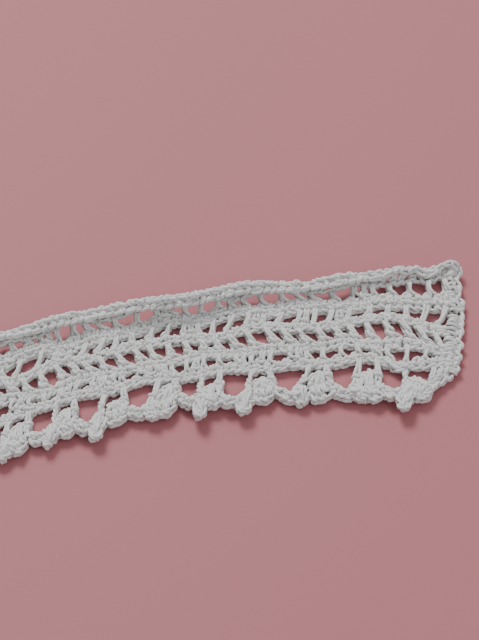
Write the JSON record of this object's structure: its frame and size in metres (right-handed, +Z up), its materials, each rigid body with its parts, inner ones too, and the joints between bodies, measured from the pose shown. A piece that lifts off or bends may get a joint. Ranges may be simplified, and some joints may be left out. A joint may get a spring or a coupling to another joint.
{
  "type": "length of crocheted lace trim",
  "caption": "Narrow crocheted cotton lace edging lying flat, with a rolled heading, openwork rows and a scalloped picot border.",
  "frame": {"origin": "middle of the box on the surface that the lace lies on", "axes": "+X along the trim to its finished end, +Y from the scallops to the rolled heading, +Z up from the surface"},
  "size_m": [0.09, 0.03, 0.0048],
  "materials": {
    "crochet_cotton": "soft white twisted cotton thread, matt with a faint lustre"
  },
  "bodies": {
    "root": {"lace_band": "crochet_cotton", "eyelet_edging": "crochet_cotton"}
  },
  "joints": []
}
